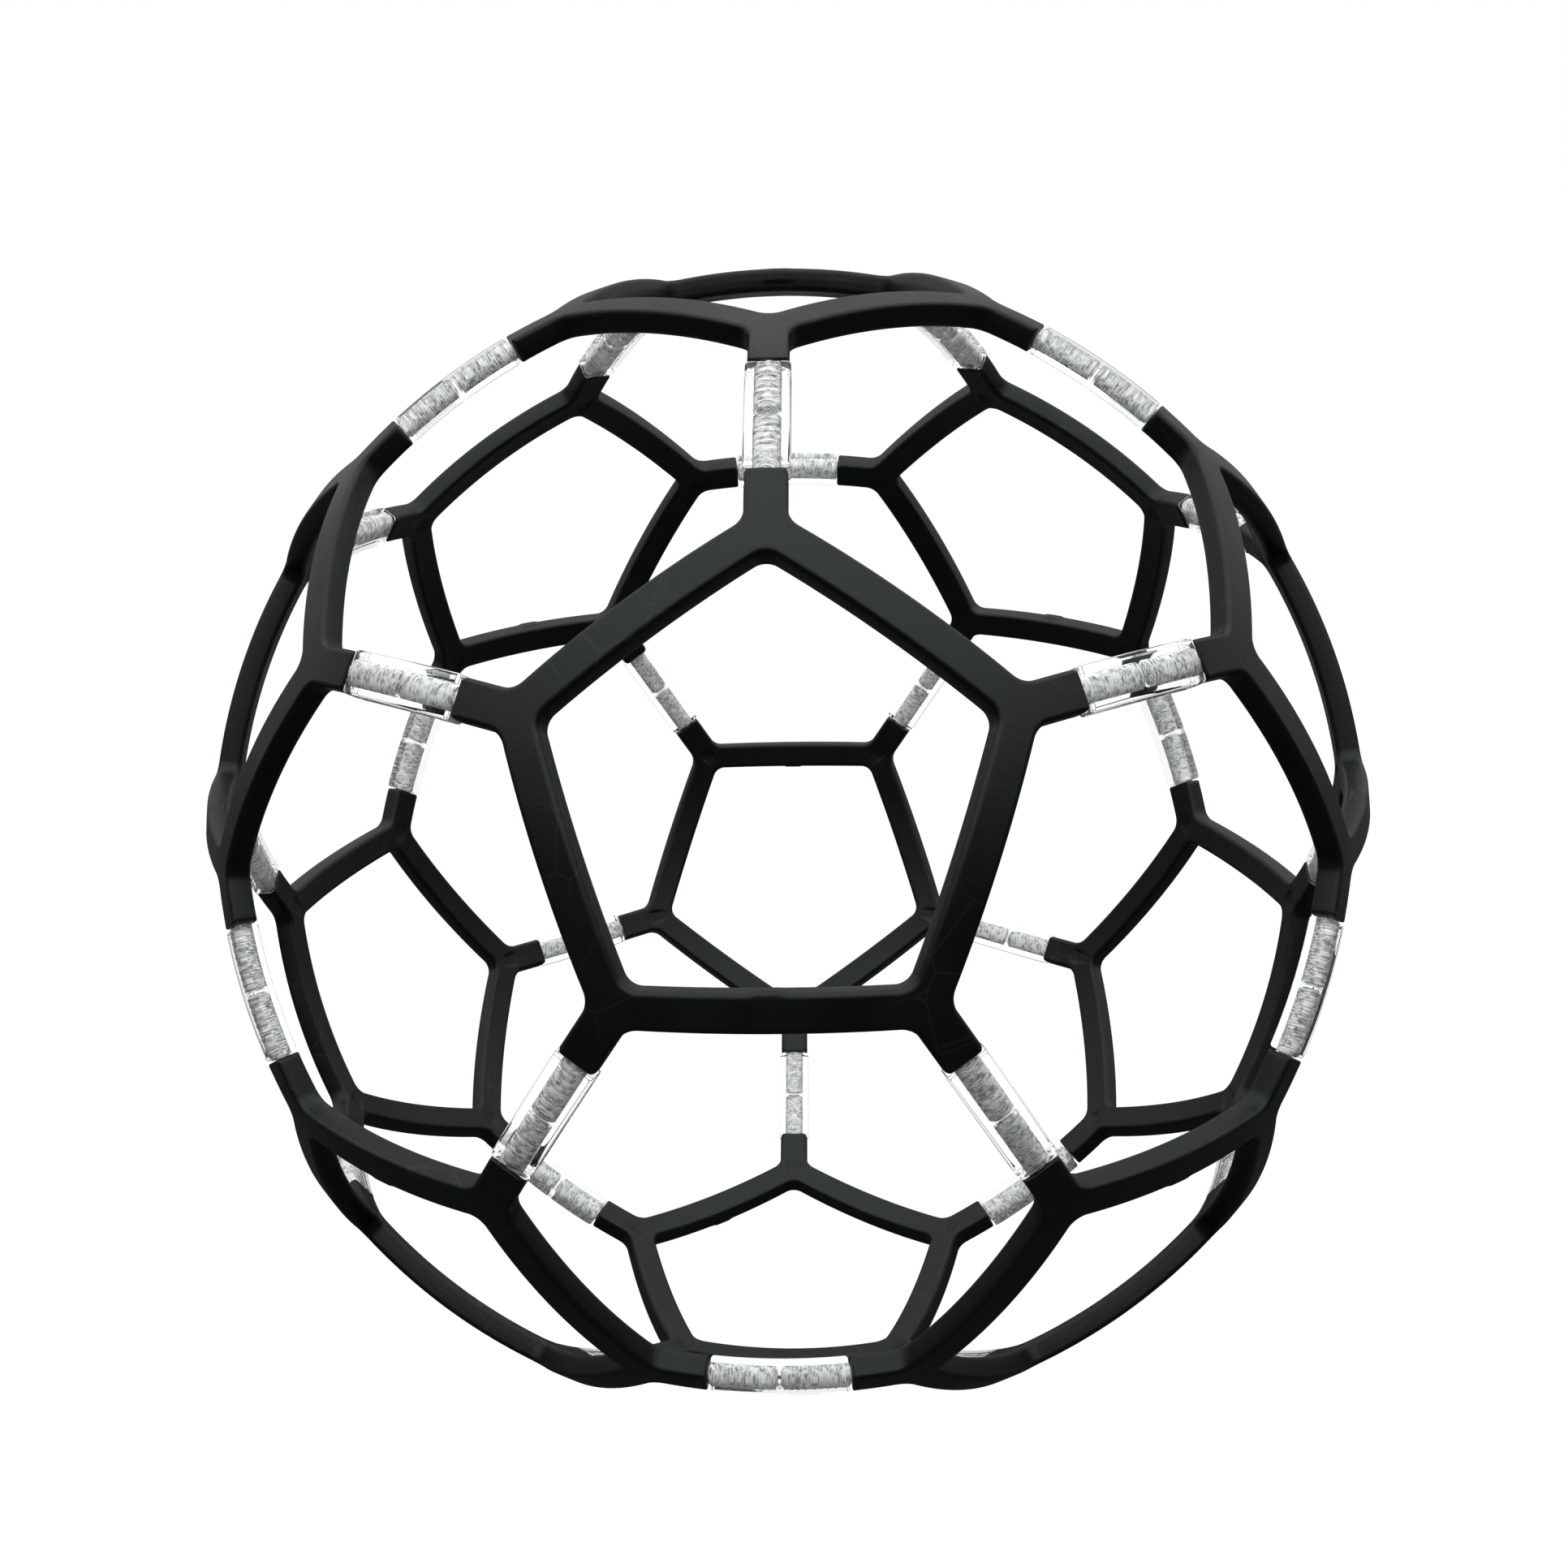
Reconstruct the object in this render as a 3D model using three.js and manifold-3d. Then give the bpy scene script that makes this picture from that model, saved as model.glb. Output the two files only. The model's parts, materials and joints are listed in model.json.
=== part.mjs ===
// A cage ball climber: twelve moulded pentagon frames joined by thirty clear links.
// Every frame has an arm at each corner. A link sits between two arms, and its pins push
// into a socket in each of them. Bars, arms and links all follow one sphere.
// Millimetres, +Z up. The ball stands on its lowest frame, centred over the origin,
// and the first frame of the upper ring faces -Y.

import * as THREE from 'three';
import { mergeVertices } from 'three/addons/utils/BufferGeometryUtils.js';
import Module from 'manifold-3d';

const wasm = await Module();
wasm.setup();

// ---------------------------------------------------------------- driving dimensions

const OUTSIDE_DIAMETER = 200; // over the outer faces of two opposite frames
const FRAME_DEPTH = 3.8; // thickness of bars and arms, towards the ball's centre
const CORNER_ANGLE = THREE.MathUtils.degToRad(20.1); // from a frame's axis to its corners
const BAR_WIDTH = 5.5; // the five bars round a frame's window
const ARM_WIDTH = 5.9; // the arm at each corner
const WINDOW_CORNER_RADIUS = 2.6; // rounding inside each corner of the window
const ARM_ROOT_RADIUS = 3.6; // fillet where an arm leaves the bars
const FRAME_CHAMFER = 0.5; // along every long edge of a frame

const LINK_LENGTH = 20.7; // clear body, measured along the sphere
const LINK_STAND_OUT = 0.3; // how far the clear body stands proud of the arms all round
const LINK_CHAMFER = 0.8; // along every edge of the clear body

const PIN_DIAMETER = 2; // the pin that holds a link in an arm
const PIN_ENGAGEMENT = 5; // how far it reaches into the arm

const BUTT_GAP = 0.3; // between an arm's end and the clear body
const PIN_CLEARANCE = 0.3; // round a pin and beyond its tip

// ---------------------------------------------------------------- facets

const BAR_FACETS = 3; // flats along each bar, the middle one square to the sphere
const LINK_FACETS = 3; // flats along each clear body
const ARC_SEGMENTS = 1; // an arc is drawn with twice this many chords
const PIN_SIDES = 6;

// ---------------------------------------------------------------- worked out from them

const MIDDLE_RADIUS = (OUTSIDE_DIAMETER - FRAME_DEPTH) / 2; // sphere through every bar's middle
const AXIS_ANGLE = Math.atan(2); // between the axes of two neighbouring frames
const RING_ELEVATION = Math.atan(0.5); // of the upper ring of frames above the ball's middle
const CORNER_COUNT = 5;
const CORNER_STEP = (2 * Math.PI) / CORNER_COUNT;
const BUTT_ANGLE = (LINK_LENGTH / 2 + BUTT_GAP) / MIDDLE_RADIUS; // link's middle to an arm's end
const ARM_END_ANGLE = AXIS_ANGLE / 2 - BUTT_ANGLE; // frame's axis to an arm's end

const BLACK_PLASTIC = { color: 0x17191b, roughness: 0.42, metalness: 0 };
const CLEAR_PLASTIC = {
  color: 0xe6ebe8, roughness: 0.08, metalness: 0, transparent: true, opacity: 0.45,
};

// ---------------------------------------------------------------- solids

/** A closed three.js geometry as a manifold solid. */
function toSolid(geometry) {
  const bare = geometry.index ? geometry.toNonIndexed() : geometry.clone();
  bare.deleteAttribute('normal');
  bare.deleteAttribute('uv');
  const merged = mergeVertices(bare);
  return new wasm.Manifold(new wasm.Mesh({
    numProp: 3,
    vertProperties: Float32Array.from(merged.attributes.position.array),
    triVerts: Uint32Array.from(merged.index.array),
  }));
}

/** A manifold solid as a flat-shaded three.js geometry. */
function toGeometry(solid) {
  const mesh = solid.getMesh();
  const geometry = new THREE.BufferGeometry();
  geometry.setAttribute('position', new THREE.BufferAttribute(mesh.vertProperties, 3));
  geometry.setIndex(new THREE.BufferAttribute(mesh.triVerts, 1));
  const flat = geometry.toNonIndexed();
  flat.computeVertexNormals();
  return flat;
}

/**
 * A slab with a chamfered edge, drawn flat and laid on the sphere. The outline lies on the
 * plane that touches the middle sphere at +Z. Each point keeps its direction from the ball's
 * centre, so straight lines become great circles, and its height becomes height off the sphere.
 */
function layOnSphere(outline, depth, chamfer) {
  const slab = new THREE.ExtrudeGeometry(outline, {
    depth: depth - 2 * chamfer,
    curveSegments: ARC_SEGMENTS,
    bevelThickness: chamfer,
    bevelSize: chamfer,
    bevelOffset: -chamfer,
    bevelSegments: 1,
  });
  slab.translate(0, 0, chamfer - depth / 2);
  const position = slab.attributes.position;
  const point = new THREE.Vector3();
  for (let i = 0; i < position.count; i += 1) {
    point.fromBufferAttribute(position, i);
    const radius = MIDDLE_RADIUS + point.z;
    point.setZ(MIDDLE_RADIUS).setLength(radius);
    position.setXYZ(i, point.x, point.y, point.z);
  }
  return slab;
}

/** A round bar from one point to another. */
function rod(from, to, diameter) {
  const along = to.clone().sub(from);
  const geometry = new THREE.CylinderGeometry(diameter / 2, diameter / 2, along.length(), PIN_SIDES);
  geometry.rotateY(Math.PI / PIN_SIDES);
  const turn = new THREE.Quaternion();
  turn.setFromUnitVectors(new THREE.Vector3(0, 1, 0), along.clone().normalize());
  geometry.applyQuaternion(turn);
  const middle = from.clone().lerp(to, 0.5);
  geometry.translate(middle.x, middle.y, middle.z);
  return geometry;
}

// ---------------------------------------------------------------- outlines on the flat plane

/** Where the middle sphere's point at this angle from +Z, and this far sideways, lands. */
function onPlane(angle, sideways) {
  return new THREE.Vector2(MIDDLE_RADIUS * Math.tan(angle), sideways / Math.cos(angle));
}

/** Where the line a-b crosses the line c-d. */
function crossing(a, b, c, d) {
  const ab = b.clone().sub(a);
  const cd = d.clone().sub(c);
  const share = c.clone().sub(a).cross(cd) / ab.cross(cd);
  return a.clone().lerp(b, share);
}

/**
 * Adds corners to a path. Each has a point and, if it is rounded, the radius of its arc, and
 * the arc touches the straight lines to the corners before and after it.
 */
function traceCorners(path, corners) {
  corners.forEach(({ point, radius = 0 }, i) => {
    const before = corners.at(i - 1).point.clone().sub(point).normalize();
    const after = corners[(i + 1) % corners.length].point.clone().sub(point).normalize();
    const half = Math.acos(THREE.MathUtils.clamp(before.dot(after), -1, 1)) / 2;
    const start = point.clone().addScaledVector(before, radius / Math.tan(half));
    if (i === 0) path.moveTo(start.x, start.y);
    else path.lineTo(start.x, start.y);
    if (radius > 0) {
      const toCentre = before.clone().add(after).normalize();
      const centre = point.clone().addScaledVector(toCentre, radius / Math.sin(half));
      const end = point.clone().addScaledVector(after, radius / Math.tan(half));
      const from = start.clone().sub(centre).angle();
      const to = end.clone().sub(centre).angle();
      path.absarc(centre.x, centre.y, radius, from, to, before.cross(after) > 0);
    }
  });
  path.closePath();
  return path;
}

/** Points along a bar's edge at the given distance from the frame's axis, between its flats. */
function barStations(distance) {
  const barHalf = MIDDLE_RADIUS * Math.tan(CORNER_ANGLE) * Math.sin(CORNER_STEP / 2);
  const straight = barHalf - ARM_WIDTH;
  const stations = [];
  for (let i = 1; i < BAR_FACETS; i += 1) {
    stations.push(new THREE.Vector2(distance, straight * ((2 * i) / BAR_FACETS - 1)));
  }
  return stations;
}

/** The flat outline of a frame: five bars round a window, and an arm at each corner. */
function frameOutline() {
  const barAngle = Math.atan(Math.tan(CORNER_ANGLE) * Math.cos(CORNER_STEP / 2));
  const halfBarAngle = BAR_WIDTH / 2 / MIDDLE_RADIUS;
  const outerEdge = MIDDLE_RADIUS * Math.tan(barAngle + halfBarAngle);
  const innerEdge = MIDDLE_RADIUS * Math.tan(barAngle - halfBarAngle);
  const origin = new THREE.Vector2();

  const edgeLine = (distance, turn) => [-1, 1].map(
    (side) => new THREE.Vector2(distance, side * distance).rotateAround(origin, turn),
  );
  const outside = [];
  const inside = [];
  for (let corner = 0; corner < CORNER_COUNT; corner += 1) {
    const armTurn = corner * CORNER_STEP;
    const barTurns = { right: armTurn - CORNER_STEP / 2, left: armTurn + CORNER_STEP / 2 };
    const armEdge = (side) => [CORNER_ANGLE, ARM_END_ANGLE].map(
      (angle) => onPlane(angle, (side * ARM_WIDTH) / 2).rotateAround(origin, armTurn),
    );
    const [rightNear, rightEnd] = armEdge(-1);
    const [leftNear, leftEnd] = armEdge(1);
    const rightRoot = crossing(rightNear, rightEnd, ...edgeLine(outerEdge, barTurns.right));
    const leftRoot = crossing(leftNear, leftEnd, ...edgeLine(outerEdge, barTurns.left));
    outside.push({ point: rightRoot, radius: ARM_ROOT_RADIUS });
    outside.push({ point: rightEnd });
    outside.push({ point: leftEnd });
    outside.push({ point: leftRoot, radius: ARM_ROOT_RADIUS });
    const windowCorner = crossing(
      ...edgeLine(innerEdge, barTurns.right),
      ...edgeLine(innerEdge, barTurns.left),
    );
    inside.push({ point: windowCorner, radius: WINDOW_CORNER_RADIUS });
    for (const point of barStations(outerEdge)) {
      outside.push({ point: point.rotateAround(origin, barTurns.left) });
    }
    for (const point of barStations(innerEdge)) {
      inside.push({ point: point.rotateAround(origin, barTurns.left) });
    }
  }
  const outline = traceCorners(new THREE.Shape(), outside);
  outline.holes.push(traceCorners(new THREE.Path(), inside));
  return outline;
}

/** The flat outline of a link's clear body, lying along X. */
function linkOutline() {
  const halfAngle = LINK_LENGTH / 2 / MIDDLE_RADIUS;
  const halfWidth = ARM_WIDTH / 2 + LINK_STAND_OUT;
  const edge = [];
  for (let i = 0; i <= LINK_FACETS; i += 1) {
    edge.push(onPlane(halfAngle * ((2 * i) / LINK_FACETS - 1), halfWidth));
  }
  const farEdge = edge.map((point) => new THREE.Vector2(-point.x, -point.y));
  return new THREE.Shape([...edge, ...farEdge].reverse());
}

// ---------------------------------------------------------------- the two mouldings

/** The middle sphere's point, and the direction onwards, at an angle from +Z towards a turn. */
function alongSphere(angle, turn) {
  const outward = new THREE.Vector3(Math.cos(turn), Math.sin(turn), 0);
  const axis = new THREE.Vector3(0, 0, 1);
  const direction = axis.clone().multiplyScalar(Math.cos(angle));
  direction.addScaledVector(outward, Math.sin(angle));
  const onwards = outward.clone().multiplyScalar(Math.cos(angle));
  onwards.addScaledVector(axis, -Math.sin(angle));
  return { point: direction.multiplyScalar(MIDDLE_RADIUS), onwards };
}

/** A pentagon frame about +Z, its first arm towards +X, with a pin socket in each arm. */
function makeFrameGeometry() {
  let frame = toSolid(layOnSphere(frameOutline(), FRAME_DEPTH, FRAME_CHAMFER));
  const bore = PIN_DIAMETER + 2 * PIN_CLEARANCE;
  for (let corner = 0; corner < CORNER_COUNT; corner += 1) {
    const { point, onwards } = alongSphere(ARM_END_ANGLE, corner * CORNER_STEP);
    const floor = point.clone().addScaledVector(onwards, -(PIN_ENGAGEMENT + PIN_CLEARANCE));
    const mouth = point.clone().addScaledVector(onwards, ARM_WIDTH);
    frame = frame.subtract(toSolid(rod(floor, mouth, bore)));
  }
  return toGeometry(frame);
}

/** A link about +Z, lying along X: the clear body, with a pin standing out of each end. */
function makeLinkGeometry() {
  const bodyDepth = FRAME_DEPTH + 2 * LINK_STAND_OUT;
  let link = toSolid(layOnSphere(linkOutline(), bodyDepth, LINK_CHAMFER));
  for (const turn of [0, Math.PI]) {
    const { point, onwards } = alongSphere(BUTT_ANGLE, turn);
    const tip = point.clone().addScaledVector(onwards, PIN_ENGAGEMENT);
    const buried = point.clone().addScaledVector(onwards, -(BUTT_GAP + PIN_DIAMETER));
    link = link.add(toSolid(rod(buried, tip, PIN_DIAMETER)));
  }
  return toGeometry(link);
}

// ---------------------------------------------------------------- the ball

const frameGeometry = makeFrameGeometry();
const linkGeometry = makeLinkGeometry();
const ball = new THREE.Group();

/** Puts a moulding on the ball, its own +Z along axis and its own +X as near towards as it can. */
function place(name, geometry, finish, axis, towards) {
  const y = axis.clone().cross(towards).normalize();
  const x = y.clone().cross(axis);
  const mesh = new THREE.Mesh(geometry, new THREE.MeshStandardMaterial(finish));
  mesh.name = name;
  mesh.quaternion.setFromRotationMatrix(new THREE.Matrix4().makeBasis(x, y, axis));
  ball.add(mesh);
}

/** The axes of a ring of frames, starting at a turn about +Z, counted anticlockwise from above. */
function ringAxes(elevation, firstTurn) {
  return Array.from({ length: CORNER_COUNT }, (_, i) => {
    const turn = firstTurn + i * CORNER_STEP;
    const flat = new THREE.Vector3(Math.cos(turn), Math.sin(turn), 0);
    return flat.multiplyScalar(Math.cos(elevation)).setZ(Math.sin(elevation));
  });
}

function addLink(name, fromAxis, toAxis) {
  const axis = fromAxis.clone().add(toAxis).normalize();
  place(name, linkGeometry, CLEAR_PLASTIC, axis, toAxis.clone().sub(fromAxis));
}

const FRONT = -Math.PI / 2;
const top = new THREE.Vector3(0, 0, 1);
const bottom = new THREE.Vector3(0, 0, -1);
const upper = ringAxes(RING_ELEVATION, FRONT);
const lower = ringAxes(-RING_ELEVATION, FRONT + CORNER_STEP / 2);

place('pentagon_frame_top', frameGeometry, BLACK_PLASTIC, top, upper[0]);
place('pentagon_frame_bottom', frameGeometry, BLACK_PLASTIC, bottom, lower[0]);
for (let i = 0; i < CORNER_COUNT; i += 1) {
  const next = (i + 1) % CORNER_COUNT;
  const number = i + 1;
  place(`pentagon_frame_upper_${number}`, frameGeometry, BLACK_PLASTIC, upper[i], top);
  place(`pentagon_frame_lower_${number}`, frameGeometry, BLACK_PLASTIC, lower[i], bottom);
  addLink(`link_top_${number}`, top, upper[i]);
  addLink(`link_upper_${number}`, upper[i], upper[next]);
  addLink(`link_waist_down_${number}`, upper[i], lower[i]);
  addLink(`link_waist_up_${number}`, lower[i], upper[next]);
  addLink(`link_lower_${number}`, lower[i], lower[next]);
  addLink(`link_bottom_${number}`, lower[i], bottom);
}

// The ball stands on the middles of the bottom frame's five bars.
ball.position.z = -new THREE.Box3().setFromObject(ball, true).min.z;

export default ball;
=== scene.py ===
# %% [markdown]
# # A cage ball climber in black and clear plastic
#
# The real ball is a push-together thing: twelve moulded pentagon frames, each with an arm at
# every corner, and thirty clear links that plug into the arms. Inside each link sit two
# frosted, ribbed pins, one for each arm. Here the ball is dressed for its portrait. The fixed
# frame gives every size and place, so it is loaded first, and its box is kept and printed at the end.

# %% Load the fixed frame
import json
import math

import bpy
import numpy as np
from mathutils import Matrix, Vector

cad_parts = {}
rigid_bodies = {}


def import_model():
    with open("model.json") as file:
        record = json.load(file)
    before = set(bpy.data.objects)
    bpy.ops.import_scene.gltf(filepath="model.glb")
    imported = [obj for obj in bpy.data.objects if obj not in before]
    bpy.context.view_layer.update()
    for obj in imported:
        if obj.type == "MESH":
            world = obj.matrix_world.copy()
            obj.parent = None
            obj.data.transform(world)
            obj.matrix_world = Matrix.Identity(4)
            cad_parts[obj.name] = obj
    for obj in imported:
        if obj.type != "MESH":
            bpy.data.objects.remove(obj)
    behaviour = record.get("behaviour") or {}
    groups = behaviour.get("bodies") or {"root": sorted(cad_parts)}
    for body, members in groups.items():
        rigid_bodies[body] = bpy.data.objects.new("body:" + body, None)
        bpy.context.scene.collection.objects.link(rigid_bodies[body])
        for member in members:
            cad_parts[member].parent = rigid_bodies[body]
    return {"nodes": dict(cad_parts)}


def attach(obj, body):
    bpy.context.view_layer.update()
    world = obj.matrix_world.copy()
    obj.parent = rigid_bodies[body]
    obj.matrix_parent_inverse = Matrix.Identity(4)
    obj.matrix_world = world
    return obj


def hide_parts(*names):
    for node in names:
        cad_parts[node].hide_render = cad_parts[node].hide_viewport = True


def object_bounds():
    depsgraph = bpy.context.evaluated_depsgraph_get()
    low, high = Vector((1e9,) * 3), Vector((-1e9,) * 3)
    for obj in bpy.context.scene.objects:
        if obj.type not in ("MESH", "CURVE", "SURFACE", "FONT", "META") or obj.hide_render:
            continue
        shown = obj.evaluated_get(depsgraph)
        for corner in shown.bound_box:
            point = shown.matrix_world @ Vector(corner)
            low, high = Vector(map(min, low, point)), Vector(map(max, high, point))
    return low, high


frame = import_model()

cad_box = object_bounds()
print("fixed frame:", len(frame["nodes"]), "nodes, box",
      [tuple(round(c, 4) for c in p) for p in cad_box])

# %% [markdown]
# ## The sizes of the ball
#
# These are the maker's sizes in millimetres, the same ones that the solids were drawn with.
# Everything follows one sphere through the middle of the bars, so a point is given by a
# direction from the ball's centre and a height off that middle sphere.

# %% Sizes, in millimetres
MM = 0.001
OUTSIDE_DIAMETER = 200.0
FRAME_DEPTH = 3.8
CORNER_ANGLE = math.radians(20.1)
BAR_WIDTH = 5.5
ARM_WIDTH = 5.9
WINDOW_CORNER_RADIUS = 2.6
ARM_ROOT_RADIUS = 3.6
LINK_LENGTH = 20.7
LINK_STAND_OUT = 0.3
PIN_DIAMETER = 2.0
PIN_ENGAGEMENT = 5.0
BUTT_GAP = 0.3
PIN_CLEARANCE = 0.3

MIDDLE_RADIUS = (OUTSIDE_DIAMETER - FRAME_DEPTH) / 2
AXIS_ANGLE = math.atan(2)
RING_ELEVATION = math.atan(0.5)
CORNER_COUNT = 5
CORNER_STEP = 2 * math.pi / CORNER_COUNT
BUTT_ANGLE = (LINK_LENGTH / 2 + BUTT_GAP) / MIDDLE_RADIUS
ARM_END_ANGLE = AXIS_ANGLE / 2 - BUTT_ANGLE

BALL_CENTRE = np.array([0.0, 0.0, (cad_box[0].z + cad_box[1].z) / 2 / MM])
print(f"middle radius {MIDDLE_RADIUS:.1f} mm, arm ends at {math.degrees(ARM_END_ANGLE):.2f} degrees,",
      f"ball centre {BALL_CENTRE[2]:.2f} mm above the floor")

# %% [markdown]
# ## The camera
#
# A lens of about 40 mm, a little over three ball radii from the centre, looks down on the
# front frame. It is placed round the ball by its bearing, height angle and distance, then
# aimed a little under the middle. The picture is cut off-centre from a wider one, which the
# lens shift repeats, so the ball stands in it where it should.

# %% Camera
CAMERA_LENS = 40.22
SENSOR_WIDTH = 36.0
CAMERA_PLACE = np.array([7.3, -293.0, 121.4])  # from the ball's centre, millimetres
CAMERA_AIM = np.array([-7.2, 1.4, -8.9])
CAMERA_ROLL = math.radians(-1.57)
CAMERA_SHIFT = (0.0242, 0.065)


def place_camera(spot, aim, roll):
    """The camera looks from spot to aim, with its up as near to +Z as it can be, then rolls."""
    back = Vector(spot - aim).normalized()
    turn = back.to_track_quat("Z", "Y").to_matrix().to_4x4() @ Matrix.Rotation(roll, 4, "Z")
    lens = bpy.data.cameras.new("portrait_camera")
    lens.lens = CAMERA_LENS
    lens.sensor_width = SENSOR_WIDTH
    lens.shift_x, lens.shift_y = CAMERA_SHIFT
    lens.clip_start, lens.clip_end = 0.01, 20.0
    camera = bpy.data.objects.new("portrait_camera", lens)
    camera.matrix_world = Matrix.Translation(Vector((spot + BALL_CENTRE) * MM)) @ turn
    bpy.context.scene.collection.objects.link(camera)
    bpy.context.scene.camera = camera
    return camera


camera = place_camera(CAMERA_PLACE, CAMERA_AIM, CAMERA_ROLL)
print("camera at", [round(c, 4) for c in camera.location])

# %% [markdown]
# ## From a flat plan to the sphere
#
# A pentagon frame is easiest to draw flat. The drawing lies on the plane that touches the
# middle sphere at the frame's axis, and each point then keeps its direction from the ball's
# centre. Straight lines of the drawing become great circles, so bars and arms curve as the
# moulded ones do.

# %% Plan to sphere


def lay_on_sphere(plan, height):
    """Direction of (x, y, middle radius) from the ball's centre, times middle radius plus height."""
    spokes = np.concatenate([plan, np.full(plan.shape[:-1] + (1,), MIDDLE_RADIUS)], -1)
    spokes /= np.linalg.norm(spokes, axis=-1, keepdims=True)
    return spokes * (MIDDLE_RADIUS + height)[..., None]


def on_plan(angle, sideways):
    """Where the sphere's point at an angle from the axis, and so far sideways, lands on the plan."""
    return np.array([MIDDLE_RADIUS * math.tan(angle), sideways / math.cos(angle)])


def turned(plan, turn):
    """Points or normals of the plan, turned about the frame's axis."""
    c, s = math.cos(turn), math.sin(turn)
    return plan @ np.array([[c, s], [-s, c]])


# %% [markdown]
# ## The outline of a frame
#
# Half of one corner is drawn, from the middle of a bar, round the fillet at the arm's root,
# along the arm and half way across its end. Its mirror image finishes the corner, and five
# turned corners close the outline. The window's edge is walked at the same pace: while the
# outline goes round the arm, the window's edge goes round its own small corner arc. Every
# station then has one point on each edge, and the moulding's profile is carried from one to
# the next.

# %% Straight runs, arcs and crossings
BAR_STEPS, ROOT_STEPS, SIDE_STEPS, TIP_STEPS, FACE_STEPS = 22, 12, 8, 7, 6
HALF_STEPS = BAR_STEPS + ROOT_STEPS + SIDE_STEPS + TIP_STEPS + FACE_STEPS
ARM_TIP_RADIUS = 0.9  # rounding in plan at the two corners of an arm's end


def unit(v):
    """A vector over its own length."""
    return v / np.linalg.norm(v)


def crossing(a, b, c, d):
    """The point where the line a-b crosses the line c-d."""
    ab, cd, ac = b - a, d - c, c - a
    share = (ac[0] * cd[1] - ac[1] * cd[0]) / (ab[0] * cd[1] - ab[1] * cd[0])
    return a + share * ab


def run(start, end, steps):
    """Points at equal shares of the way, the end left out, with the normal on the right of travel."""
    share = np.arange(steps)[:, None] / steps
    travel = unit(end - start)
    return start + (end - start) * share, np.tile([travel[1], -travel[0]], (steps, 1))


def rounded(before, corner, after, radius, steps):
    """The arc of a radius that touches both lines through a corner: centre + radius (cos, sin).

    The normal is the spoke where the path turns left, and minus the spoke where it turns right."""
    back, on = unit(before - corner), unit(after - corner)
    half = math.acos(np.clip(back @ on, -1, 1)) / 2
    centre = corner + unit(back + on) * radius / math.sin(half)
    start, end = corner + back * radius / math.tan(half), corner + on * radius / math.tan(half)
    first, last = start - centre, end - centre
    sweep = math.atan2(first[0] * last[1] - first[1] * last[0], first @ last)
    angle = math.atan2(first[1], first[0]) + sweep * np.arange(steps) / steps
    spoke = np.stack([np.cos(angle), np.sin(angle)], -1)
    return centre + radius * spoke, spoke * np.sign(sweep), start, end


def whole_path(half_points, half_normals, middle, middle_normal):
    """Half a corner, its middle point, and its mirror image, then all five corners round the axis."""
    mirror = np.array([1.0, -1.0])
    points = np.concatenate([half_points, middle[None], half_points[:0:-1] * mirror])
    normals = np.concatenate([half_normals, middle_normal[None], half_normals[:0:-1] * mirror])
    turns = np.arange(CORNER_COUNT) * CORNER_STEP
    return (np.concatenate([turned(points, t) for t in turns]),
            np.concatenate([turned(normals, t) for t in turns]))


# %% The outer edge, round bars and arms
bar_angle = math.atan(math.tan(CORNER_ANGLE) * math.cos(CORNER_STEP / 2))
outer_edge = MIDDLE_RADIUS * math.tan(bar_angle + BAR_WIDTH / 2 / MIDDLE_RADIUS)
window_edge = MIDDLE_RADIUS * math.tan(bar_angle - BAR_WIDTH / 2 / MIDDLE_RADIUS)
bar_out = turned(np.array([1.0, 0.0]), -CORNER_STEP / 2)
bar_on = turned(np.array([0.0, 1.0]), -CORNER_STEP / 2)

bar_middle = bar_out * outer_edge
arm_near, arm_far = on_plan(CORNER_ANGLE, -ARM_WIDTH / 2), on_plan(ARM_END_ANGLE, -ARM_WIDTH / 2)
arm_middle = on_plan(ARM_END_ANGLE, 0.0)
root = crossing(bar_middle, bar_middle + bar_on, arm_near, arm_far)
root_arc = rounded(bar_middle, root, arm_far, ARM_ROOT_RADIUS, ROOT_STEPS)
tip_arc = rounded(arm_near, arm_far, arm_middle, ARM_TIP_RADIUS, TIP_STEPS)
outer_runs = [run(bar_middle, root_arc[2], BAR_STEPS), root_arc[:2],
              run(root_arc[3], tip_arc[2], SIDE_STEPS), tip_arc[:2],
              run(tip_arc[3], arm_middle, FACE_STEPS)]
outline, outline_out = whole_path(np.concatenate([r[0] for r in outer_runs]),
                                  np.concatenate([r[1] for r in outer_runs]),
                                  arm_middle, np.array([1.0, 0.0]))

# %% The window's edge, at the same pace
sill_middle = bar_out * window_edge
window_corner = crossing(sill_middle, sill_middle + bar_on, np.zeros(2), np.array([1.0, 0.0]))
sill_back = window_corner - bar_on
sill_on = sill_back * np.array([1.0, -1.0])
arc_steps = 2 * (HALF_STEPS - BAR_STEPS)
window_arc = rounded(sill_back, window_corner, sill_on, WINDOW_CORNER_RADIUS, arc_steps)
sill = run(sill_middle, window_arc[2], BAR_STEPS)
half_arc = slice(0, arc_steps // 2)
window, window_out = whole_path(
    np.concatenate([sill[0], window_arc[0][half_arc]]),
    -np.concatenate([sill[1], window_arc[1][half_arc]]),
    window_arc[0][arc_steps // 2], -window_arc[1][arc_steps // 2])
STATIONS = len(outline)
print("a frame's outline has", STATIONS, "stations; the arm's root is at", root.round(2))

# %% [markdown]
# ## The moulding's profile
#
# Between the two edges the profile is a closed loop: the outer land, a rounded edge, the side
# wall with a faint crease where the two halves of the mould met, a rounded edge, the inner
# land, and the same again on the window's side. Rows stand close together beside each rounded
# edge, so that the shading stays flat on the lands and bends only on the edges.

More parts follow.
